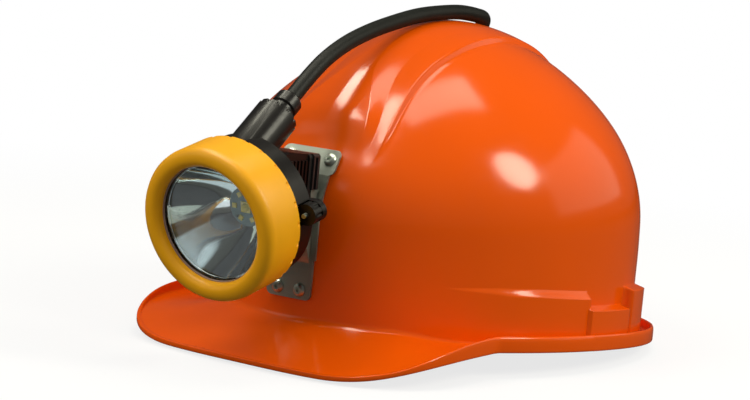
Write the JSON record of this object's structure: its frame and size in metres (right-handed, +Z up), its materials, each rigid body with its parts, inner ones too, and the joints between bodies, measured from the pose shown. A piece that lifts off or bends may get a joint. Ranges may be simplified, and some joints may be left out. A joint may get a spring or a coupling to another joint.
{
  "type": "miner's cap lamp",
  "caption": "Cap lamp hooked on a miner's helmet, with a cable run over the crest to a belt-worn battery pack.",
  "frame": {"origin": "middle of the head opening, on the surface that the helmet's peak and gutter rest on", "axes": "+Z up, -Y the way the wearer looks, +X to the wearer's left"},
  "size_m": [0.326, 0.4581, 0.1677],
  "materials": {
    "shell": "glossy moulded",
    "band": "satin moulded",
    "strap": "woven webbing",
    "pad": "foam-backed cloth",
    "key": "moulded",
    "bracket": "zinc plated",
    "fastener": "bright zinc",
    "hook": "black oxide",
    "bezel": "satin moulded",
    "housing": "satin moulded",
    "gasket": "matt",
    "lens": "clear",
    "reflector": "vacuum metallised",
    "board": "board lacquer",
    "emitter": "phosphor under clear resin",
    "heat_sink": "turned",
    "circuit": "board lacquer",
    "cable": "smooth sheath",
    "pack": "fine spark texture",
    "cell": "shrink sleeve",
    "contact": "nickel flash"
  },
  "bodies": {
    "helmet": {"helmet_shell": "shell", "headband": "band", "brow_pad": "pad", "crown_strap_a": "strap", "crown_strap_b": "strap", "crown_pad": "pad", "suspension_keys": "key", "ratchet_case": "band", "lamp_bracket": "bracket", "bracket_rivets": "fastener", "cable_clip": "housing", "clip_rivets": "fastener", "cable_crown": "cable", "cable_coil": "cable"},
    "ratchet": {"ratchet_knob": "band"},
    "lamp": {"bezel": "bezel", "lens_gasket": "gasket", "lens": "lens", "reflector": "reflector", "led_board": "board", "main_led": "emitter", "side_leds": "emitter", "led_holder": "heat_sink", "driver_board": "circuit", "lamp_housing": "housing", "back_plate": "housing", "hook_plate": "hook", "plate_screws": "fastener", "gland_ring": "housing", "boss_seal": "gasket", "strain_relief": "housing", "cable_front": "cable"},
    "switch": {"switch_knob": "housing", "contact_pin": "contact", "knob_clip": "fastener"},
    "battery_pack": {"battery_case": "pack", "battery_cover": "pack", "cover_gasket": "gasket", "battery_cells": "cell", "cell_holders": "key", "protection_board": "circuit", "cover_screws": "fastener", "battery_gland": "housing", "gland_nut": "housing", "belt_loops": "bracket", "loop_screws": "fastener", "cable_tail": "cable"}
  },
  "joints": [
    {"name": "lamp_lift", "type": "slide", "parent": "helmet", "child": "lamp", "axis": [0, 0, 1], "range_m": [0, 0.045], "deforming": ["cable_front"]},
    {"name": "switch_turn", "type": "hinge", "parent": "lamp", "child": "switch", "pos_m": [0.03565, -0.16399, 0.07602], "axis": [0, -0.9703, -0.2419], "range_deg": [-90, 90]},
    {"name": "ratchet_turn", "type": "hinge", "parent": "helmet", "child": "ratchet", "pos_m": [0, 0.103, 0.035], "axis": [0, 1, 0], "range_deg": [-270, 270]},
    {"name": "pack_lift", "type": "slide", "parent": "helmet", "child": "battery_pack", "axis": [0, 0, 1], "range_m": [0, 0.03], "deforming": ["cable_tail"]}
  ]
}
